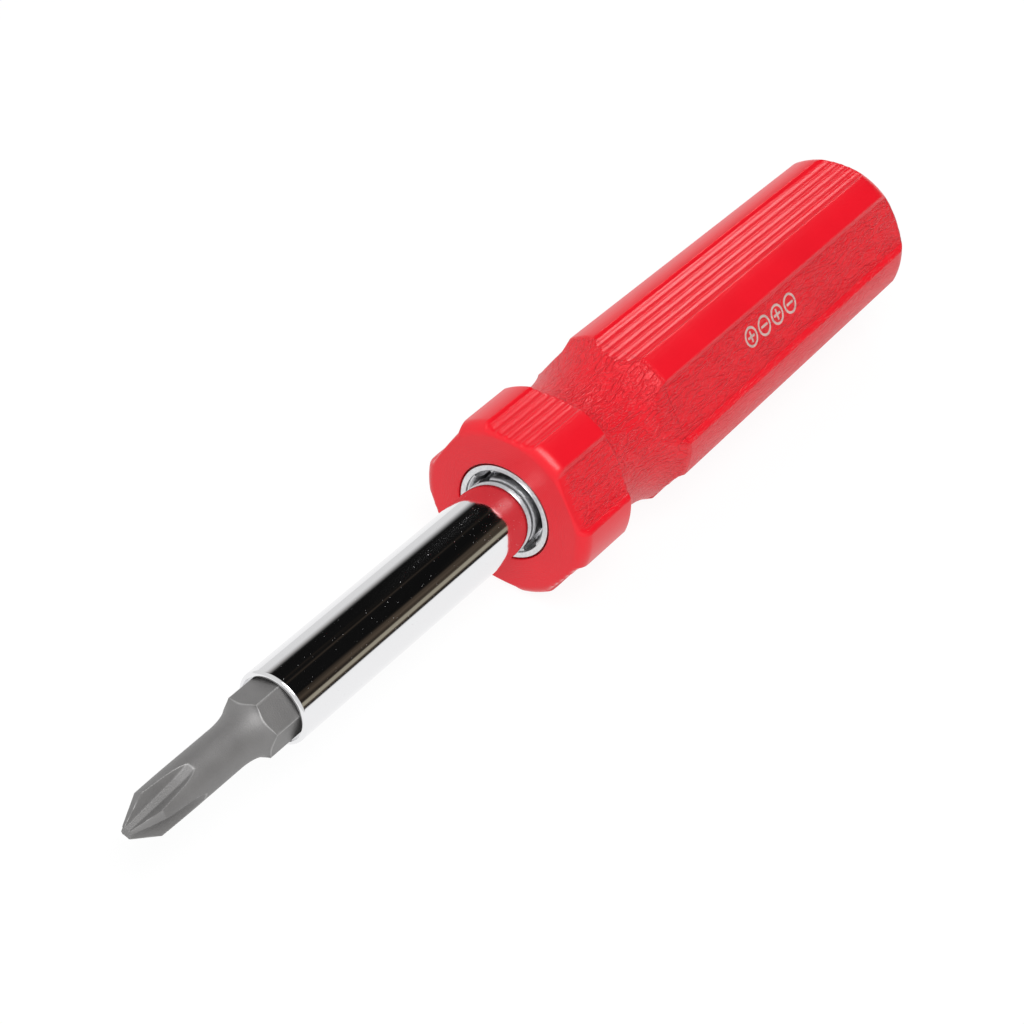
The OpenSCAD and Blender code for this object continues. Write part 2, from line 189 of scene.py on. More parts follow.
class MetalSettings(bpy.types.PropertyGroup):
    """Sizes of the steel pieces that the frame does not give."""
    tube_edge: length("Tube edge", "Radius of the rounded edge of the tube's mouths", 0.42 * MM)
    mouth_bore: length("Mouth bore", "Radius of the counterbore in the tube's mouths", 3.85 * MM)
    mouth_depth: length("Mouth depth", "Depth of that counterbore", 1.1 * MM)
    band: length("Band", "Length of the plain band around the tube's middle", 8.0 * MM)
    band_depth: length("Band depth", "Depth of that band", 0.2 * MM)
    pocket_flats: length("Pocket flats", "Width across the flats of the tube's hexagon", 6.45 * MM)
    web: length("Web", "Thickness of the wall that parts the tube's pockets", 1.5 * MM)
    ear_height: length("Ear height", "How far the pressed ears stand out of the tube", 0.62 * MM)
    ear_length: length("Ear length", "Length of the pressed ears", 2.8 * MM)
    ear_width: length("Ear width", "Width of the pressed ears", 2.0 * MM)
    ear_angle: angle("Ear angle", "Turn of the ears about the tool", -48)
    lip_thickness: length("Lip thickness", "Thickness of the ferrule's lip", 1.0 * MM)
    ferrule_radius: length("Ferrule radius", "Outer radius of the ferrule's wall", 5.45 * MM)
    ferrule_bore: length("Ferrule bore", "Inner radius of the ferrule", 5.1 * MM)
    bell_length: length("Bell length", "Length of the sleeve's bell mouth", 1.9 * MM)
    guide_gap: length("Guide gap", "Radial gap between the tube and what guides it", 0.09 * MM)
    flange_flats: length("Flange flats", "Width across the flats of the sleeve's drive flange", 12.0 * MM)
    flange_thickness: length("Flange thickness", "Thickness of that flange", 2.0 * MM)
    seat_gap: length("Seat gap", "Gap between pieces that stay together", 0.02 * MM)
    bit_flats: length("Bit flats", "Width across the flats of a bit", 6.35 * MM)
    bit_neck: length("Bit neck", "Length of the round neck at each end of a bit", 18.2 * MM)
    bit_flare: length("Bit flare", "Length of the hollow between neck and hexagon", 3.8 * MM)
    hex_angle: angle("Hexagon angle", "Turn of the hexagon about the tool", 11)
    flute_length: length("Flute length", "Length of the flutes of a cross tip", 8.8 * MM)
    flute_floor: length("Flute floor", "Width of the floor of a flute at its end", 0.96 * MM)
    flute_core: length("Flute core", "Distance of a flute's floor from the axis at the tip", 0.55 * MM)
    blade_length: length("Blade length", "Length of the flattened end of a bit", 9.0 * MM)
    front_shank: length("Front shank", "Radius of the front bit's round necks", 2.47 * MM)
    front_point: length("Front point", "Radius of the blunt end of the front bit's cross tip", 0.8 * MM)
    front_cone: length("Front cone", "Length of the cone of the front bit's cross tip", 3.1 * MM)
    front_blade: length("Front blade", "Thickness of the front bit's blade", 0.8 * MM)
    rear_shank: length("Rear shank", "Radius of the rear bit's round necks", 2.9 * MM)
    rear_point: length("Rear point", "Radius of the blunt end of the rear bit's cross tip", 1.1 * MM)
    rear_cone: length("Rear cone", "Length of the cone of the rear bit's cross tip", 3.4 * MM)
    rear_blade: length("Rear blade", "Thickness of the rear bit's blade", 1.1 * MM)
    spring_wire: length("Spring wire", "Diameter of the wire of a detent spring", 0.22 * MM)
    spring_turns: bpy.props.IntProperty(name="Spring turns", description="Turns of a detent spring",
                                        default=4)


class StudioSettings(bpy.types.PropertyGroup):
    """Camera, floor and light."""
    azimuth: angle("Azimuth", "Way the camera looks, from +Y towards -X", -54.82)
    elevation: angle("Elevation", "Height of the camera above the horizon", 37.06)
    lean: angle("Lean", "Turn of the camera about the tool's axis", -6)
    lens: number("Lens", "Focal length in millimetres", 99.84)
    tip_distance: length("Tip distance", "Depth of the tip in front of the camera", 267.2 * MM)
    tip_column: number("Tip column", "Pixel column of the tip", 126.5)
    tip_row: number("Tip row", "Pixel row of the tip", 833.0)
    floor_side: length("Floor side", "Side of the square floor", 6.0)
    floor_glow: number("Floor glow", "Light of the white floor itself", 0.93)
    sky: number("Sky", "Strength of the white surroundings", 0.8)


def settings(group):
    """The scene's settings of one group."""
    return getattr(bpy.context.scene, group)


# Modelling by hand


def fresh():
    """Goes to object mode with nothing selected."""
    if bpy.context.object and bpy.context.object.mode != "OBJECT":
        bpy.ops.object.mode_set(mode="OBJECT")
    bpy.ops.object.select_all(action="DESELECT")


def spun(name, outline, steps, start=0.0):
    """Turns an outline of (distance behind the face, radius) points about the tool's axis."""
    fresh()
    points = [Vector((FACE_X + along, -radius * math.sin(start), radius * math.cos(start)))
              for along, radius in outline]
    bpy.ops.mesh.primitive_plane_add(size=MM, location=(0, 0, AXIS_Z))
    piece = bpy.context.object
    piece.name = piece.data.name = name
    bpy.ops.object.mode_set(mode="EDIT")
    bpy.ops.mesh.select_all(action="SELECT")
    bpy.ops.mesh.merge(type="CENTER")
    bpy.ops.transform.translate(value=points[0])
    for before, after in zip(points, points[1:]):
        bpy.ops.mesh.extrude_region_move(TRANSFORM_OT_translate={"value": after - before})
    bpy.ops.object.mode_set(mode="OBJECT")
    turning = piece.modifiers.new("turning", "SCREW")
    turning.axis = "X"
    turning.steps = turning.render_steps = steps
    turning.use_merge_vertices = True
    turning.merge_threshold = MERGE
    bpy.ops.object.modifier_apply(modifier=turning.name)
    bpy.ops.object.transform_apply()
    bpy.ops.object.mode_set(mode="EDIT")
    bpy.ops.mesh.select_all(action="SELECT")
    bpy.ops.mesh.remove_doubles(threshold=MERGE)
    bpy.ops.mesh.normals_make_consistent(inside=False)
    bpy.ops.object.mode_set(mode="OBJECT")
    return piece


def prism(name, sides, radius, low, high, turn):
    """A straight bar along the tool, to be cut with."""
    fresh()
    bpy.ops.mesh.primitive_cylinder_add(vertices=sides, radius=radius, depth=high - low,
                                        location=(FACE_X + (low + high) / 2, 0, AXIS_Z))
    bar = bpy.context.object
    bar.name = name
    bar.matrix_world = (bar.matrix_world @ Matrix.Rotation(turn, 4, "X")
                        @ Matrix.Rotation(math.pi / 2, 4, "Y"))
    bpy.ops.object.transform_apply()
    return bar


def block(name, low, high, turn):
    """A box about the tool's axis between two corners, turned about it."""
    fresh()
    middle = [(a + b) / 2 for a, b in zip(low, high)]
    bpy.ops.mesh.primitive_cube_add(size=1)
    box = bpy.context.object
    box.name = name
    box.matrix_world = (Matrix.Translation((FACE_X, 0, AXIS_Z)) @ Matrix.Rotation(turn, 4, "X")
                        @ Matrix.Translation(middle)
                        @ Matrix.Diagonal([b - a for a, b in zip(low, high)] + [1]))
    bpy.ops.object.transform_apply()
    return box


def carve(piece, tool, operation="DIFFERENCE"):
    """Cuts a tool out of a piece, or joins it on, and clears the tool away."""
    fresh()
    piece.select_set(True)
    bpy.context.view_layer.objects.active = piece
    cut = piece.modifiers.new("cut", "BOOLEAN")
    cut.operation = operation
    cut.solver = "EXACT"
    cut.object = tool
    bpy.ops.object.modifier_apply(modifier=cut.name)
    bpy.data.objects.remove(tool)


def soften(piece, width, segments=3, limit=30):
    """Rounds a piece's sharp edges."""
    fresh()
    piece.select_set(True)
    bpy.context.view_layer.objects.active = piece
    bevel = piece.modifiers.new("soft edges", "BEVEL")
    bevel.width = width
    bevel.segments = segments
    bevel.limit_method = "ANGLE"
    bevel.angle_limit = math.radians(limit)
    bpy.ops.object.modifier_apply(modifier=bevel.name)


def smooth(piece, limit):
    """Shades a piece smooth up to an angle between faces, in degrees."""
    fresh()
    piece.select_set(True)
    bpy.context.view_layer.objects.active = piece
    bpy.ops.object.shade_smooth_by_angle(angle=math.radians(limit))


def polar(piece):
    """A piece's points as distance behind the face, radius, and angle from +Z towards -Y."""
    places = np.empty(len(piece.data.vertices) * 3)
    piece.data.vertices.foreach_get("co", places)
    x, y, z = places.reshape(-1, 3).T
    return x - FACE_X, np.hypot(y, z - AXIS_Z), np.arctan2(-y, z - AXIS_Z)


def set_polar(piece, along, radius, turn):
    """Moves a piece's points to these places about the tool's axis."""
    places = np.stack([along + FACE_X, -radius * np.sin(turn), AXIS_Z + radius * np.cos(turn)], axis=1)
    piece.data.vertices.foreach_set("co", places.ravel())
    piece.data.update()


def paint(piece, name, values):
    """Keeps a number for each point of a piece, which its material reads."""
    piece.data.attributes.new(name, "FLOAT", "POINT").data.foreach_set("value", values.astype(np.float32))


def dress(piece, body, slot, material, *nodes):
    """Gives a finished piece its material and body, and hides the nodes it stands for."""
    piece.data.materials.clear()
    piece.data.materials.append(material)
    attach(piece, body)
    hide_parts(*nodes)


# Curves and sections


def arc(centre, reach, start, stop, count):
    """Points on an ellipse, as (along, radius), from one angle to another in degrees."""
    turns = np.radians(np.linspace(start, stop, count))
    return [(centre[0] + reach[0] * math.sin(t), centre[1] + reach[1] * math.cos(t)) for t in turns]


def line(start, stop, count):
    """Evenly spaced points after the first one, up to the last."""
    return [(start[0] + (stop[0] - start[0]) * k / count, start[1] + (stop[1] - start[1]) * k / count)
            for k in range(1, count + 1)]


def rounded(corners):
    """An outline through (along, radius, rounding, count) corners, with an arc at each inner one."""
    spots = [Vector(corner[:2]) for corner in corners]
    outline = [tuple(spots[0])]
    for before, spot, after, corner in zip(spots, spots[1:], spots[2:], corners[1:]):
        rounding, count = corner[2:]
        inward, outward = (before - spot).normalized(), (after - spot).normalized()
        opening = inward.angle(outward)
        reach = rounding / math.tan(opening / 2)
        centre = spot + (inward + outward).normalized() * (rounding / math.sin(opening / 2))
        first, last = spot + inward * reach - centre, spot + outward * reach - centre
        sweep = math.pi - opening
        for k in range(count):
            part = k / (count - 1) * sweep
            spoke = (first * math.sin(sweep - part) + last * math.sin(part)) / math.sin(sweep)
            outline.append(tuple(centre + spoke))
    return outline + [tuple(spots[-1])]


def corner_radius(flats):
    """Radius over the corners of a hexagon with this width across its flats."""
    return flats / 2 / math.cos(math.pi / HEXAGON)


def soft_min(a, b, width):
    """The lower of two surfaces, with the edge between them rounded off."""
    overlap = np.maximum(width - np.abs(a - b), 0) / width
    return np.minimum(a, b) - overlap * overlap * width / 4


def nearness(a, b, width):
    """How close two surfaces are to crossing, from 0 to 1."""
    return np.clip(1 - np.abs(a - b) / width, 0, 1)


def ease(value):
    """A soft step from 0 to 1."""
    t = np.clip(value, 0, 1)
    return t * t * (3 - 2 * t)


# Shader nodes as expressions


class Value:
    """A shader socket on which arithmetic adds Math nodes."""

    def __init__(self, finish, socket):
        self.finish = finish
        self.socket = socket

    def math(self, operation, *inputs):
        return self.finish.add("ShaderNodeMath", {"operation": operation}, dict(enumerate(inputs)))

    def __add__(self, other):
        return self.math("ADD", self, other)

    def __radd__(self, other):
        return self.math("ADD", other, self)

    def __sub__(self, other):
        return self.math("SUBTRACT", self, other)

    def __rsub__(self, other):
        return self.math("SUBTRACT", other, self)

    def __mul__(self, other):
        return self.math("MULTIPLY", self, other)

    def __rmul__(self, other):
        return self.math("MULTIPLY", other, self)

    def __pow__(self, other):
        return self.math("POWER", self, other)

    def __abs__(self):
        return self.math("ABSOLUTE", self)

    def __lt__(self, other):
        return self.math("LESS_THAN", self, other)

    def __gt__(self, other):
        return self.math("GREATER_THAN", self, other)

    def wave(self):
        return self.math("SINE", self)

    def least(self, other):
        return self.math("MINIMUM", self, other)

    def most(self, other):
        return self.math("MAXIMUM", self, other)


class Finish:
    """A node tree, with one call that adds any node to it."""

    def __init__(self, name, world=False):
        store = bpy.data.worlds if world else bpy.data.materials
        self.block = store.new(name)
        self.block.use_nodes = True
        self.tree = self.block.node_tree
        self.shader = self.tree.nodes["Background" if world else "Principled BSDF"]

    def add(self, kind, choices=None, inputs=None, output=0):
        """Adds a node, sets its choices and then its sockets, and returns one output."""
        node = self.tree.nodes.new(kind)
        for key, choice in (choices or {}).items():
            setattr(node, key, choice)
        for key, value in (inputs or {}).items():
            self.feed(node.inputs[key], value)
        return Value(self, node.outputs[output])

    def feed(self, socket, value):
        if isinstance(value, Value):
            self.tree.links.new(value.socket, socket)
        elif isinstance(value, tuple) and len(value) == 3 and socket.type == "RGBA":
            socket.default_value = (*value, 1)
        else:
            socket.default_value = value

    def set(self, **sockets):
        """Sets the shader's sockets, named with _ for a space."""
        for key, value in sockets.items():
            self.feed(self.shader.inputs[key.replace("_", " ")], value)

    def place(self):
        """The three parts of a point's place on the object."""
        where = self.add("ShaderNodeTexCoord", output="Object")
        split = self.add("ShaderNodeSeparateXYZ", inputs={0: where})
        return where, split, *(Value(self, split.socket.node.outputs[k]) for k in (1, 2))

    def scaled(self, where, scale):
        """A place with its parts scaled, which stretches a pattern."""
        return self.add("ShaderNodeMapping", {}, {"Vector": where, "Scale": scale})

    def noise(self, where, scale=1.0, detail=2.0, output=0):
        return self.add("ShaderNodeTexNoise", {}, {"Vector": where, "Scale": scale, "Detail": detail}, output)

    def step(self, value, low, high):
        """A soft step from 0 to 1 as a value rises."""
        return self.add("ShaderNodeMapRange", {"interpolation_type": "SMOOTHSTEP"},
                        {"Value": value, "From Min": low, "From Max": high})

    def attribute(self, name):
        return self.add("ShaderNodeAttribute", {"attribute_name": name}, output="Fac")

    def mix(self, factor, first, second):
        """A colour between two others."""
        return self.add("ShaderNodeMix", {"data_type": "RGBA"},
                        {"Factor": factor, MIX_FIRST: first, MIX_SECOND: second}, MIX_RESULT)

    def bump(self, height, distance):
        return self.add("ShaderNodeBump", {}, {"Height": height, "Distance": distance, "Strength": 1.0})


# Finishes


def leather(f, where):
    """Height of a leather grain: creases that wander along the tool, their branches, and fine cracks."""
    wander = (0.6 * MM, 0.4 * MM, 0.4 * MM)
    crease_scale, branch_scale, crack_scale = (300, 1400, 1400), (640, 2700, 2700), (760, 4200, 4200)
    crease_width, crack_width = 0.05, 0.14
    crease_height, branch_height, crack_height = 17.0, 10.0, 1.2
    sway = f.noise(where, scale=420.0, detail=1.0, output="Color")
    drift = f.add("ShaderNodeVectorMath", {"operation": "MULTIPLY_ADD"}, {0: sway, 1: wander, 2: where})
    creases = abs(f.noise(f.scaled(drift, crease_scale), detail=1.0) - 0.5)
    branches = abs(f.noise(f.scaled(drift, branch_scale), detail=1.0) - 0.5)
    cracks = f.add("ShaderNodeTexVoronoi", {"feature": "DISTANCE_TO_EDGE"},
                   {"Vector": f.scaled(drift, crack_scale), "Scale": 1.0})
    return (creases.least(crease_width) * crease_height + branches.least(crease_width) * branch_height
            + cracks.least(crack_width) * crack_height)


def moulded_red(s):
    """Satin red plastic with leather grain where the piece is painted with it, and small pale marks."""
    leather_height, streak_height, peel_height, ring_height = 0.1, 0.014, 0.005, 0.004
    deep_share = 0.86
    f = Finish("moulded_red")
    where, x, y, z = f.place()
    grain = f.attribute("grain")
    streaks = f.noise(f.scaled(where, (160, 5200, 5200)))
    peel = f.noise(where, scale=2600.0)
    mottle = f.noise(where, scale=160.0, detail=3.0)
    rise = z - AXIS_Z
    rings = ((y * y + rise * rise) ** 0.5 * (2 * math.pi / s.ring_pitch)).wave()
    height = (leather(f, where) * grain * leather_height + streaks * streak_height + peel * peel_height
              + rings * f.attribute("face") * ring_height)
    red = tuple(s.red)
    plastic = f.mix(mottle, tuple(part * deep_share for part in red), red)
    f.set(Base_Color=f.mix(bit_marks(f, s, x, y, z), plastic, tuple(s.print_colour)),
          Roughness=0.26 + grain * 0.1 + mottle * 0.06, Specular_IOR_Level=0.36, Normal=f.bump(height, MM))
    return f.block


def bit_marks(f, s, x, y, z):
    """Where the pictograms of the four bit ends are printed: a cross or a slot in a ring."""
    ends, bar_share = 4, 0.62
    turn = panels(s)[2][0]
    rise = z - AXIS_Z
    across = -1 * (y * math.cos(turn) + rise * math.sin(turn)) + s.mark_shift
    outwards = rise * math.cos(turn) - y * math.sin(turn)
    half_line, half_bar = s.mark_line / 2, s.mark_radius * bar_share
    marks = 0.0
    for end in range(ends):
        along = x - (FACE_X + s.mark_place + (end - (ends - 1) / 2) * s.mark_pitch)
        away = (along * along + across * across) ** 0.5
        ring = abs(away - s.mark_radius) < half_line
        bar = (abs(across) < half_line) * (abs(along) < half_bar)
        post = (abs(along) < half_line) * (abs(across) < half_bar)
        marks = ring.most(bar).most(post if end % 2 == 0 else 0.0).most(marks)
    return marks * (outwards > 0.0)


def mirror_chrome():
    """Bright chrome plate with faint polishing haze and a few pits."""
    pit_level = 0.77
    f = Finish("mirror_chrome")
    where = f.place()[0]
    haze = f.noise(f.scaled(where, (60, 900, 900)), detail=4.0)
    pits = f.noise(where, scale=5200.0, detail=1.0) > pit_level
    f.set(Base_Color=(0.82, 0.82, 0.83), Metallic=1.0, Roughness=0.05 + haze * 0.06 + pits * 0.35)
    return f.block


def plated_steel():
    """Dull zinc plate with turning marks and a few bright spots."""
    spot_height = 0.06 * MM
    f = Finish("plated_steel")
    where = f.place()[0]
    marks = f.noise(f.scaled(where, (3000, 700, 700)), detail=3.0)
    spots = f.noise(where, scale=2600.0, detail=3.0)
    f.set(Base_Color=f.mix(spots, (0.5, 0.51, 0.53), (0.86, 0.86, 0.86)), Metallic=1.0,
          Roughness=0.26 + marks * 0.2, Normal=f.bump(spots, spot_height))
    return f.block


def blasted_steel():
    """Grey blasted tool steel, with a painted highlight along its edges."""
    blast_height = 0.03 * MM
    f = Finish("blasted_steel")
    where = f.place()[0]
    edge = f.attribute("edge")
    blast = f.noise(where, scale=7000.0)
    cloud = f.noise(where, scale=420.0, detail=3.0)
    grey = f.mix(cloud, (0.17, 0.167, 0.166), (0.22, 0.216, 0.214))
    # Painted highlight: along the edges the base colour is mixed towards pale grey, spotted by the blast
    # noise
    f.set(Base_Color=f.mix(edge * (0.1 + blast * 0.4), grey, (0.72, 0.72, 0.71)), Metallic=0.45,
          Roughness=0.5 - edge * 0.12 + cloud * 0.06, Normal=f.bump(blast, blast_height))
    return f.block


def spring_steel():
    """Plain drawn steel of the small inner pieces."""
    f = Finish("spring_steel")
    draw = f.noise(f.place()[0], scale=2500.0, detail=3.0)
    f.set(Base_Color=f.mix(draw, (0.42, 0.43, 0.45), (0.6, 0.61, 0.63)), Metallic=1.0,
          Roughness=0.22 + draw * 0.15)
    return f.block


# Handle


def handle_outline(s, m):
    """The handle from the floor of its bore, out of its mouth, over its skin to the butt."""
    mouth_edge, collar_edge, step_edge, grip_edge = 0.16 * MM, 0.3 * MM, 0.9 * MM, 0.7 * MM
    seat = m.seat_gap
    guide = TUBE_RADIUS + m.guide_gap
    groove = RING_RADIUS + seat
    flange = corner_radius(m.flange_flats) + seat
    flange_front = SLEEVE_END - m.flange_thickness - seat
    wall = m.ferrule_radius + seat
    lip_back = LIP_IN + m.lip_thickness + seat
    inside = [(BORE_END, 0), (BORE_END, guide), (RING_END + seat, guide), (RING_END + seat, groove),
              (RING_IN - seat, groove), (RING_IN - seat, guide), (SLEEVE_END + seat, guide),
              (SLEEVE_END + seat, flange), (flange_front, flange), (flange_front, wall), (lip_back, wall),
              (lip_back, s.mouth_radius)]
    mouth = rounded([(lip_back, s.mouth_radius), (0, s.mouth_radius, mouth_edge, 7), (0, s.face_radius)])
    brow = arc((s.brow_length, s.face_radius), (-s.brow_length, s.collar_radius - s.face_radius), 88, 0, 26)
    corners = [brow[-1], (s.collar_length, s.collar_radius, collar_edge, 6),
               (s.step_foot, s.step_foot_radius, step_edge, 8),
               (s.neck_bend, s.neck_bend_radius, s.neck_round, 26),
               (s.grip_front, s.grip_front_radius, grip_edge, 8),
               (HANDLE_LENGTH, s.grip_rear_radius, s.butt_round, 18), (HANDLE_LENGTH, 0)]
    return inside + divided(mouth + brow[:-1] + rounded(corners), s.grip_front + grip_edge)


def divided(outline, grip):
    """An outline with points added where two lie far apart, fewer of them behind the start of the grip."""
    points = outline[:1]
    for start, stop in zip(outline, outline[1:]):
        longest = GRIP_STEP if stop[0] > grip else FRONT_STEP
        points += line(start, stop, math.ceil(math.dist(start, stop) / longest))
    return points


def panels(s):
    """The panels around the handle as (turn, angle, depth, side, ribbed), the one underneath first."""
    to_side = s.base / 2 + s.land + s.ribbed / 2
    to_next = s.ribbed / 2 + s.land + s.plain / 2
    ribbed = [math.pi - to_side, math.pi + to_side, math.pi + to_side + 2 * to_next]
    plain = [math.pi + to_side + to_next, math.pi + to_side + 3 * to_next]
    return ([(math.pi, s.base, s.plain_depth, s.plain_side, False)]
            + [(turn, s.plain, s.plain_depth, s.plain_side, False) for turn in plain]
            + [(turn, s.ribbed, s.ribbed_depth, s.ribbed_side, True) for turn in ribbed])


def wrapped(turn):
    """An angle brought to the half turn on either side of zero."""
    return np.mod(turn + math.pi, 2 * math.pi) - math.pi


def crowded(s, turn):
    """Moves the columns of a turned blank closer together on the flutes and on the panels' sides."""
    samples, flute_crowd, side_crowd = 7201, 3, 2
    flute_rim, side_middle, side_half = math.radians(1), math.radians(2), math.radians(4)
    grid = np.linspace(0, 2 * math.pi, samples)
    crowd = np.ones(samples)
    for middle, width, _, _, ribbed in panels(s):
        off = np.abs(wrapped(grid - middle)) - width / 2
        if ribbed:
            crowd += flute_crowd * (off < flute_rim)
        else:
            crowd += side_crowd * (np.abs(off + side_middle) < side_half)
    places = np.concatenate([[0], np.cumsum(crowd[1:])])
    return np.interp(np.mod(turn, 2 * math.pi), places / places[-1] * 2 * math.pi, grid)


def land_grain(s, along, turn):
    """Grain outside the panels: around the neck, and along one streaked land of the grip."""
    collar_fade, grip_fade, streak_grain = 0.5 * MM, 0.3 * MM, 0.7
    streak_shift, streak_half = math.radians(13), math.radians(14)
    on_neck = ease((along - s.collar_length) / collar_fade) * ease((s.grip_front - along) / grip_fade)
    streak = math.pi - s.base / 2 - s.land - s.ribbed - streak_shift
    streaked = (np.abs(wrapped(turn - streak)) < streak_half) & (along > s.grip_front)
    return np.maximum(on_neck, streak_grain * streaked)


def shape_handle(piece, s):
    """Cuts the panels and flutes into the turned blank, and paints where it is grained."""
    front_fade, brow_start, brow_fade = 2.2 * MM, 0.5 * MM, 1.5 * MM
    floor_edge, panel_edge, slope_rise, slope_grain = 0.12 * MM, 0.15 * MM, 0.05 * MM, 0.3
    panel_reach, flutes = math.radians(50), 5
    along, blank, turn = polar(piece)
    turn = crowded(s, turn)
    slope = (s.grip_front_radius - s.grip_rear_radius) / (HANDLE_LENGTH - s.grip_front)
    grip = s.grip_front_radius - slope * (along - s.grip_front)
    land = np.where(along < s.neck_bend, s.collar_radius, grip)
    behind_brow = ease((along - brow_start) / brow_fade)
    softness = s.edge + s.front_edge * (1 - ease(along / front_fade))
    radius, grain = blank, land_grain(s, along, turn)
    for middle, width, depth, side, ribbed in panels(s):
        off = np.clip(wrapped(turn - middle), -panel_reach, panel_reach)
        level = land * math.cos(width / 2) - depth
        steep = depth / side
        floor = level / np.cos(off)
        foot = level - steep * (land * math.sin(width / 2) - side)
        wall = foot / (np.cos(off) - steep * np.abs(np.sin(off)))
        cut = -soft_min(-floor, -np.where(wall > 0, wall, 1), floor_edge)
        if ribbed:
            across = floor * np.sin(off) / s.rib_pitch
            hollow = 1 - 4 * (across - np.round(across)) ** 2
            cut -= s.rib_depth * np.where(np.abs(across) < flutes / 2, hollow, 0)
        inside = ease((blank - cut) / panel_edge)
        panel_grain = 0 if ribbed else behind_brow * np.where(wall > floor + slope_rise, slope_grain, 1)
        grain = grain + inside * (panel_grain - grain)
        radius = soft_min(radius, cut, softness)
    outside = on_skin(s, along, blank)
    set_polar(piece, along, np.where(outside, radius, blank), turn)
    paint(piece, "grain", np.where(outside, grain, 0))
    paint(piece, "face", outside * turned_rings(s, along, blank))


def on_skin(s, along, blank):
    """Which points of the blank lie on the handle's skin, and not in its mouth or bore."""
    mouth_rim, wall, face_depth = 0.2 * MM, 1.2 * MM, 0.01 * MM
    past_mouth = blank > s.mouth_radius + mouth_rim
    past_wall = blank > s.mouth_radius + wall
    return past_mouth & ((along < face_depth) | past_wall | (along > BORE_END + OVERRUN))


def turned_rings(s, along, blank):
    """How strongly the faint turned rings show: on the front face, up to its brow."""
    fade, face_depth = 1.0 * MM, 0.1 * MM
    return ease((s.face_radius - blank) / fade) * (along < face_depth)


class SCREWDRIVER_OT_handle(bpy.types.Operator):
    """Models the moulded handle with its collar, neck, grip, panels and flutes"""
    bl_idname = "screwdriver.handle"
    bl_label = "Handle"

    def execute(self, context):
        s, m = settings("handle_settings"), settings("metal_settings")
        piece = spun("moulded_handle", handle_outline(s, m), HANDLE_STEPS)
        shape_handle(piece, s)
        smooth(piece, 50)
        dress(piece, "handle", "handle_plastic", moulded_red(s), "handle")
        return {"FINISHED"}


# Mouth


class SCREWDRIVER_OT_mouth(bpy.types.Operator):
    """Models the ferrule with its rounded lip and the sleeve with its bell mouth and keyways"""
    bl_idname = "screwdriver.mouth"
    bl_label = "Ferrule and sleeve"

    def execute(self, context):
        m = settings("metal_settings")
        plate = plated_steel()
        self.ferrule(m, plate)
        self.sleeve(m, plate)
        return {"FINISHED"}

    def ferrule(self, m, plate):
        edge = 0.07 * MM
        lip_back = LIP_IN + m.lip_thickness
        ring = rounded([(FERRULE_END, m.ferrule_bore), (LIP_IN, m.ferrule_bore, edge, 4),
                        (LIP_IN, LIP_RADIUS, edge, 4), (lip_back, LIP_RADIUS, edge, 3),
                        (lip_back, m.ferrule_radius, edge, 3), (FERRULE_END, m.ferrule_radius)])
        piece = spun("ferrule_ring", ring + ring[:1], MOUTH_STEPS)
        smooth(piece, 40)
        dress(piece, "handle", "ferrule_steel", plate, "ferrule")

    def sleeve(self, m, plate):
        key_gap = 0.06 * MM
        outer = m.ferrule_bore - m.seat_gap
        guide = TUBE_RADIUS + m.guide_gap
        bell = arc((SLEEVE_IN + m.bell_length, outer), (-m.bell_length, guide - outer), 90, 0, 14)
        wall = bell + [(SLEEVE_END, guide), (SLEEVE_END, outer)]
        piece = spun("drive_liner", wall + wall[:1], MOUTH_STEPS)
        flange = prism("flange", HEXAGON, corner_radius(m.flange_flats),
                       SLEEVE_END - m.flange_thickness, SLEEVE_END, m.hex_angle)
        carve(flange, prism("flange_bore", MOUTH_STEPS, (outer + guide) / 2, 0, SLEEVE_END + OVERRUN, 0))
        carve(piece, flange, "UNION")
        half_key = m.ear_width / 2 + key_gap
        key_end = TUBE_MIDDLE + m.ear_length / 2 + key_gap
        past = outer + OVERRUN
        carve(piece, block("keyways", (0, -half_key, -past), (key_end, half_key, past), m.ear_angle))
        smooth(piece, 35)
        dress(piece, "handle", "ferrule_steel", plate, "drive_sleeve")


# Tube


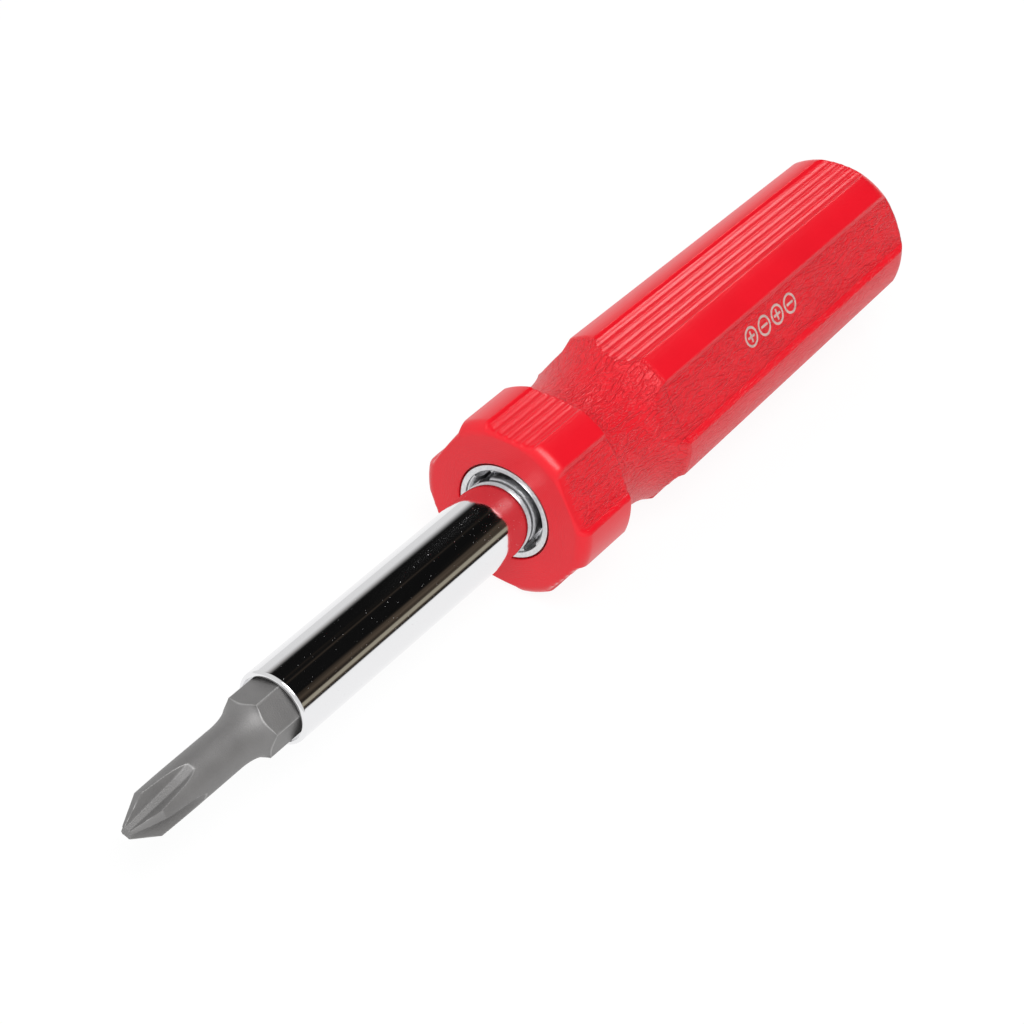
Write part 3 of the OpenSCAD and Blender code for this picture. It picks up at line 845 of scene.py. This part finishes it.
class SCREWDRIVER_OT_tube(bpy.types.Operator):
    """Models the chromed tube with its rounded mouths, hexagonal pockets and pressed ears"""
    bl_idname = "screwdriver.tube"
    bl_label = "Tube"

    def execute(self, context):
        m = settings("metal_settings")
        piece = spun("chromed_tube", self.outline(m), TUBE_STEPS)
        pocket, half_web = corner_radius(m.pocket_flats), m.web / 2
        before, behind = TUBE_FRONT - OVERRUN, TUBE_BACK + OVERRUN
        carve(piece, prism("front_pocket", HEXAGON, pocket, before, TUBE_MIDDLE - half_web, m.hex_angle))
        carve(piece, prism("rear_pocket", HEXAGON, pocket, TUBE_MIDDLE + half_web, behind, m.hex_angle))
        # Half a step aside, so that no column of a counterbore runs into a column of the tube
        turn = math.pi / TUBE_STEPS
        carve(piece, prism("front_mouth", TUBE_STEPS, m.mouth_bore, before, TUBE_FRONT + m.mouth_depth, turn))
        carve(piece, prism("rear_mouth", TUBE_STEPS, m.mouth_bore, TUBE_BACK - m.mouth_depth, behind, turn))
        carve(piece, self.ears(m), "UNION")
        smooth(piece, 35)
        dress(piece, "shaft", "tube_chrome", mirror_chrome(), "shaft_tube")
        return {"FINISHED"}

    def outline(self, m):
        """The tube's skin from the middle of one end to the middle of the other."""
        edge, half_band = m.tube_edge, m.band / 2
        waist = TUBE_RADIUS - m.band_depth
        front = arc((TUBE_FRONT + edge, TUBE_RADIUS - edge), (-edge, edge), 90, 0, 10)
        back = arc((TUBE_BACK - edge, TUBE_RADIUS - edge), (edge, edge), 0, 90, 10)
        band = [(TUBE_MIDDLE - half_band, TUBE_RADIUS), (TUBE_MIDDLE - half_band, waist),
                (TUBE_MIDDLE + half_band, waist), (TUBE_MIDDLE + half_band, TUBE_RADIUS)]
        return [(TUBE_FRONT, 0)] + front + band + back + [(TUBE_BACK, 0)]

    def ears(self, m):
        """Two ears with round crowns, whose roots reach into the tube's wall."""
        root, edge, core_steps = 0.45 * MM, 0.15 * MM, 64
        crown = TUBE_RADIUS + m.ear_height
        half_length, half_width = m.ear_length / 2, m.ear_width / 2
        low, high = TUBE_MIDDLE - half_length - OVERRUN, TUBE_MIDDLE + half_length + OVERRUN
        ears = block("ears", (TUBE_MIDDLE - half_length, -half_width, -crown),
                     (TUBE_MIDDLE + half_length, half_width, crown), m.ear_angle)
        carve(ears, prism("ear_crown", TUBE_STEPS, crown, low, high, 0), "INTERSECT")
        carve(ears, prism("ear_core", core_steps, TUBE_RADIUS - root, low, high, 0))
        soften(ears, edge)
        return ears


# Bits


def bit_outline(m, shank, point, cone):
    """A bit's turned outline from its cross tip to its blade end, counted from the tip."""
    spare, end_round = 0.02 * MM, 0.15 * MM
    corner = corner_radius(m.bit_flats) + spare
    flare_start, back_start = m.bit_neck - m.bit_flare, BIT_LENGTH - m.bit_neck
    blunt = point - end_round
    tip = [(0, 0), (0, blunt)] + arc((end_round, blunt), (-end_round, end_round), 70, 20, 4)
    cone_line = line(tip[-1], (cone, shank), 34)
    neck = line(cone_line[-1], (flare_start, shank), 70)
    rise = arc((flare_start, corner), (m.bit_flare, shank - corner), 0, 90, 34)[1:]
    hexagon = line(rise[-1], (back_start, corner), 10)
    fall = arc((back_start + m.bit_flare, corner), (-m.bit_flare, shank - corner), 90, 0, 20)[1:]
    blade = line(fall[-1], (BIT_LENGTH, shank), 50)
    return tip + cone_line + neck + rise + hexagon + fall + blade + [(BIT_LENGTH, 0)]


def flute_radius(m, shank, depth, turn):
    """Radius of the four flutes of a cross tip, which run out towards the shank."""
    run_out, tip_share, floor_edge, least = 0.22, 0.6, 0.12 * MM, 1e-4
    opening = math.tan(math.radians(46))
    side = np.mod(turn - m.hex_angle + math.pi / 4, math.pi / 2) - math.pi / 4
    run = depth / m.flute_length
    lift = (1 - run_out) * run + run_out * np.maximum(run * 4 - 3, 0) ** 2
    core = m.flute_core + (shank - m.flute_core) * lift
    half_floor = m.flute_floor / 2 * (tip_share + (1 - tip_share) * np.clip(run, 0, 1))
    floor = core / np.cos(side)
    wall = (core * opening - half_floor) / np.maximum(np.cos(side) * opening - np.abs(np.sin(side)), least)
    return -soft_min(-floor, -wall, floor_edge)


def shape_bit(piece, m, start, way, shank, blade):
    """Cuts hexagon, flutes and blade into a turned bit, and paints a highlight along its edges."""
    hex_edge, cut_edge, edge_sheen_width, shoulder_sheen_width = 0.06 * MM, 0.05 * MM, 0.07 * MM, 0.09 * MM
    shoulder, needle, least = 0.1 * MM, 0.01 * MM, 1e-4
    along, radius, turn = polar(piece)
    depth = (along - start) * way
    pitch = 2 * math.pi / HEXAGON
    off = np.mod(turn - m.hex_angle, pitch) - pitch / 2
    flat = m.bit_flats / 2 / np.cos(off)
    next_flat = m.bit_flats / 2 / np.cos(pitch - np.abs(off))
    hexagon = soft_min(flat, next_flat, hex_edge)
    # Nearness to the edges of the hexagon, its shoulders and the flutes, which the steel paints as a
    # highlight
    edge = nearness(flat, next_flat, edge_sheen_width) * (radius > hexagon)
    edge = np.maximum(edge, nearness(radius, hexagon, shoulder_sheen_width) * (radius > shank + shoulder))
    body = soft_min(radius, hexagon, cut_edge)
    flute = flute_radius(m, shank, depth, turn)
    edge = np.maximum(edge, nearness(body, flute, edge_sheen_width) * (depth < m.flute_length))
    body = soft_min(body, flute, cut_edge)
    taper = np.clip((depth - BIT_LENGTH + m.blade_length) / m.blade_length, 0, 1)
    half = shank + (blade / 2 - shank) * taper
    slab = half / np.maximum(np.abs(np.cos(turn - m.hex_angle)), least)
    body = np.where(taper > 0, soft_min(body, slab, cut_edge), body)
    set_polar(piece, along, np.where(radius > needle, np.maximum(body, needle), radius), turn)
    # Kept for the steel's painted highlight along the edges
    paint(piece, "edge", edge)


class SCREWDRIVER_OT_bits(bpy.types.Operator):
    """Models both double-ended bits with their cross tips, hexagons and blades"""
    bl_idname = "screwdriver.bits"
    bl_label = "Bits"

    def execute(self, context):
        m = settings("metal_settings")
        steel = blasted_steel()
        self.bit(m, steel, "front", FRONT_BIT_LOW[0] - FACE_X, 1)
        self.bit(m, steel, "rear", REAR_BIT_HIGH[0] - FACE_X, -1)
        return {"FINISHED"}

    def bit(self, m, steel, end, start, way):
        """One bit, from its cross tip at start, along the tool (1) or back against it (-1)."""
        node = end + "_bit"
        sizes = ("shank", "point", "cone", "blade")
        shank, point, cone, blade = (getattr(m, f"{end}_{size}") for size in sizes)
        outline = [(start + way * depth, radius) for depth, radius in bit_outline(m, shank, point, cone)]
        piece = spun(node + "_steel", outline, BIT_STEPS, m.hex_angle)
        shape_bit(piece, m, start, way, shank, blade)
        smooth(piece, 50)
        dress(piece, node, "bit_steel", steel, node)


# Inner steel


class SCREWDRIVER_OT_inner_steel(bpy.types.Operator):
    """Finishes the retaining ring and detent balls, and winds the detent springs"""
    bl_idname = "screwdriver.inner_steel"
    bl_label = "Inner steel"

    def execute(self, context):
        m = settings("metal_settings")
        steel = spring_steel()
        for name in ("retaining_ring", "front_detent_ball", "rear_detent_ball"):
            materials = frame["nodes"][name].data.materials
            materials.clear()
            materials.append(steel)
        for end in ("front", "rear"):
            self.spring(m, steel, end)
        return {"FINISHED"}

    def spring(self, m, steel, end):
        """A coil between its hole's floor and its ball."""
        node, press = end + "_detent_spring", end + "_ball_press"
        joint = next(joint for joint in frame["joints"] if joint["name"] == press)
        inwards = Vector(joint["axis"])
        low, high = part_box(node)
        middle = Vector(((low[0] + high[0]) / 2, 0, AXIS_Z))
        depths = [inwards.dot(vertex.co - middle) for vertex in frame["nodes"][node].data.vertices]
        ball_end, floor_end = min(depths), max(depths)
        piece = self.coil(node + "_coil", (high[0] - low[0] - m.spring_wire) / 2,
                          floor_end - ball_end - m.spring_wire, m)
        piece.matrix_world = (Matrix.Translation(middle + inwards * (ball_end + m.spring_wire / 2))
                              @ inwards.to_track_quat("Z", "X").to_matrix().to_4x4())
        bpy.ops.object.transform_apply()
        smooth(piece, 40)
        dress(piece, end + "_bit", "spring_steel", steel, node)
        1 - joint["range_m"][1] / (floor_end - ball_end)
        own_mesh(piece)

    def coil(self, name, radius, rise, m):
        """A wire section wound up the Z axis, with its two ends closed."""
        fresh()
        bpy.ops.mesh.primitive_circle_add(vertices=WIRE_SIDES, radius=m.spring_wire / 2,
                                          location=(radius, 0, 0), rotation=(math.pi / 2, 0, 0))
        wire = bpy.context.object
        wire.name = wire.data.name = name
        bpy.ops.object.transform_apply()
        winding = wire.modifiers.new("winding", "SCREW")
        winding.steps = winding.render_steps = WIRE_STEPS
        winding.iterations = m.spring_turns
        winding.screw_offset = rise / m.spring_turns
        bpy.ops.object.modifier_apply(modifier=winding.name)
        bpy.ops.object.mode_set(mode="EDIT")
        bpy.ops.mesh.select_all(action="SELECT")
        bpy.ops.mesh.fill_holes(sides=0)
        bpy.ops.mesh.normals_make_consistent(inside=False)
        bpy.ops.object.mode_set(mode="OBJECT")
        return wire


# Studio


class SCREWDRIVER_OT_studio(bpy.types.Operator):
    """Sets up the camera, the pale floor and the soft light"""
    bl_idname = "screwdriver.studio"
    bl_label = "Studio"

    def execute(self, context):
        s = settings("studio_settings")
        self.camera(context, s)
        self.floor(s)
        self.surroundings(context, s)
        for name, (place, side, power) in SOFTBOXES.items():
            self.softbox(name, place, side, power)
        context.scene.view_settings.view_transform = "Standard"
        return {"FINISHED"}

    def camera(self, context, s):
        """The camera, which sees the tip at its pixel and depth."""
        fresh()
        bpy.ops.object.camera_add()
        camera = context.object
        camera.name = "studio_camera"
        camera.data.lens = s.lens
        camera.data.sensor_width = SENSOR_WIDTH
        camera.data.clip_start = 10 * MM
        turn = (Matrix.Rotation(s.lean, 4, "X") @ Matrix.Rotation(s.azimuth, 4, "Z")
                @ Matrix.Rotation(math.pi / 2 - s.elevation, 4, "X"))
        focal = s.lens / SENSOR_WIDTH * IMAGE_SIDE
        tip = Vector((FRONT_BIT_LOW[0], 0, AXIS_Z))
        ray = Vector(((s.tip_column - IMAGE_SIDE / 2) / focal, (IMAGE_SIDE / 2 - s.tip_row) / focal, -1))
        camera.matrix_world = Matrix.Translation(tip - turn.to_3x3() @ ray * s.tip_distance) @ turn
        context.scene.camera = camera

    def floor(self, s):
        """A white floor that glows by itself and takes only a faint shadow."""
        fresh()
        bpy.ops.mesh.primitive_plane_add(size=s.floor_side)
        floor = bpy.context.object
        floor.name = "pale_floor"
        f = Finish("pale_floor")
        f.set(Base_Color=(0.07, 0.07, 0.07), Roughness=1.0, Specular_IOR_Level=0.0,
              Emission_Color=(1, 1, 1), Emission_Strength=s.floor_glow)
        floor.data.materials.append(f.block)

    def surroundings(self, context, s):
        """White surroundings with a dark side behind the handle, which the tube mirrors as bands."""
        f = Finish("surroundings", world=True)
        where = f.add("ShaderNodeTexCoord", output="Generated")
        x = f.add("ShaderNodeSeparateXYZ", inputs={0: where})
        y, z = (Value(f, x.socket.node.outputs[k]) for k in (1, 2))
        # Dark above the horizon on the -Y side, and above a slanting white card on the +Y side
        far = f.step(x, 0.12, 0.38)
        near = f.step(-1 * y, 0.0, 0.1)
        card = f.step(z - y * 0.6, -0.12, 0.3).most(f.step(x, 0.65, 0.69))
        above = near * f.step(z, 0.0, 0.03) + (1 - near) * card * f.step(z - y * 0.12, 0.01, 0.06)
        # Dim warm streaks in it, and a brighter strip a little above the horizon
        streaks = f.noise(f.scaled(where, (0.5, 3.4, 3.4)))
        dim = f.mix(f.step(streaks, 0.48, 0.75), (0.006, 0.006, 0.006), (0.12, 0.09, 0.065))
        strip = near * f.step(z, 0.13, 0.16) * (1 - f.step(z, 0.26, 0.3))
        shade = f.mix(strip, dim, (0.44, 0.4, 0.31))
        f.set(Color=f.mix(far * above, (1, 1, 1), shade), Strength=s.sky)
        context.scene.world = f.block

    def softbox(self, name, place, side, power):
        """A square light that faces the middle of the tool."""
        fresh()
        bpy.ops.object.light_add(type="AREA", location=place)
        lamp = bpy.context.object
        lamp.name = name
        lamp.data.size = side
        lamp.data.energy = power
        aim = Vector((0, 0, AXIS_Z)) - Vector(place)
        lamp.rotation_euler = aim.to_track_quat("-Z", "Y").to_euler()


class SCREWDRIVER_PT_panel(bpy.types.Panel):
    """Lists the pieces in the sidebar"""
    bl_idname = "SCREWDRIVER_PT_panel"
    bl_label = "Pocket Screwdriver"
    bl_space_type = "VIEW_3D"
    bl_region_type = "UI"
    bl_category = "Screwdriver"

    def draw(self, context):
        for operator in OPERATORS:
            self.layout.operator(operator.bl_idname)


GROUPS = {"handle_settings": HandleSettings, "metal_settings": MetalSettings,
          "studio_settings": StudioSettings}
OPERATORS = (SCREWDRIVER_OT_handle, SCREWDRIVER_OT_mouth, SCREWDRIVER_OT_tube, SCREWDRIVER_OT_bits,
             SCREWDRIVER_OT_inner_steel, SCREWDRIVER_OT_studio)


def register():
    for group in GROUPS.values():
        bpy.utils.register_class(group)
    for operator in OPERATORS:
        bpy.utils.register_class(operator)
    bpy.utils.register_class(SCREWDRIVER_PT_panel)
    for name, group in GROUPS.items():
        setattr(bpy.types.Scene, name, bpy.props.PointerProperty(type=group))


def unregister():
    for name in GROUPS:
        delattr(bpy.types.Scene, name)
    bpy.utils.unregister_class(SCREWDRIVER_PT_panel)
    for operator in reversed(OPERATORS):
        bpy.utils.unregister_class(operator)
    for group in GROUPS.values():
        bpy.utils.unregister_class(group)


def main():
    register()
    bpy.ops.screwdriver.handle()
    bpy.ops.screwdriver.mouth()
    bpy.ops.screwdriver.tube()
    bpy.ops.screwdriver.bits()
    bpy.ops.screwdriver.inner_steel()
    bpy.ops.screwdriver.studio()


if __name__ == "__main__":
    main()
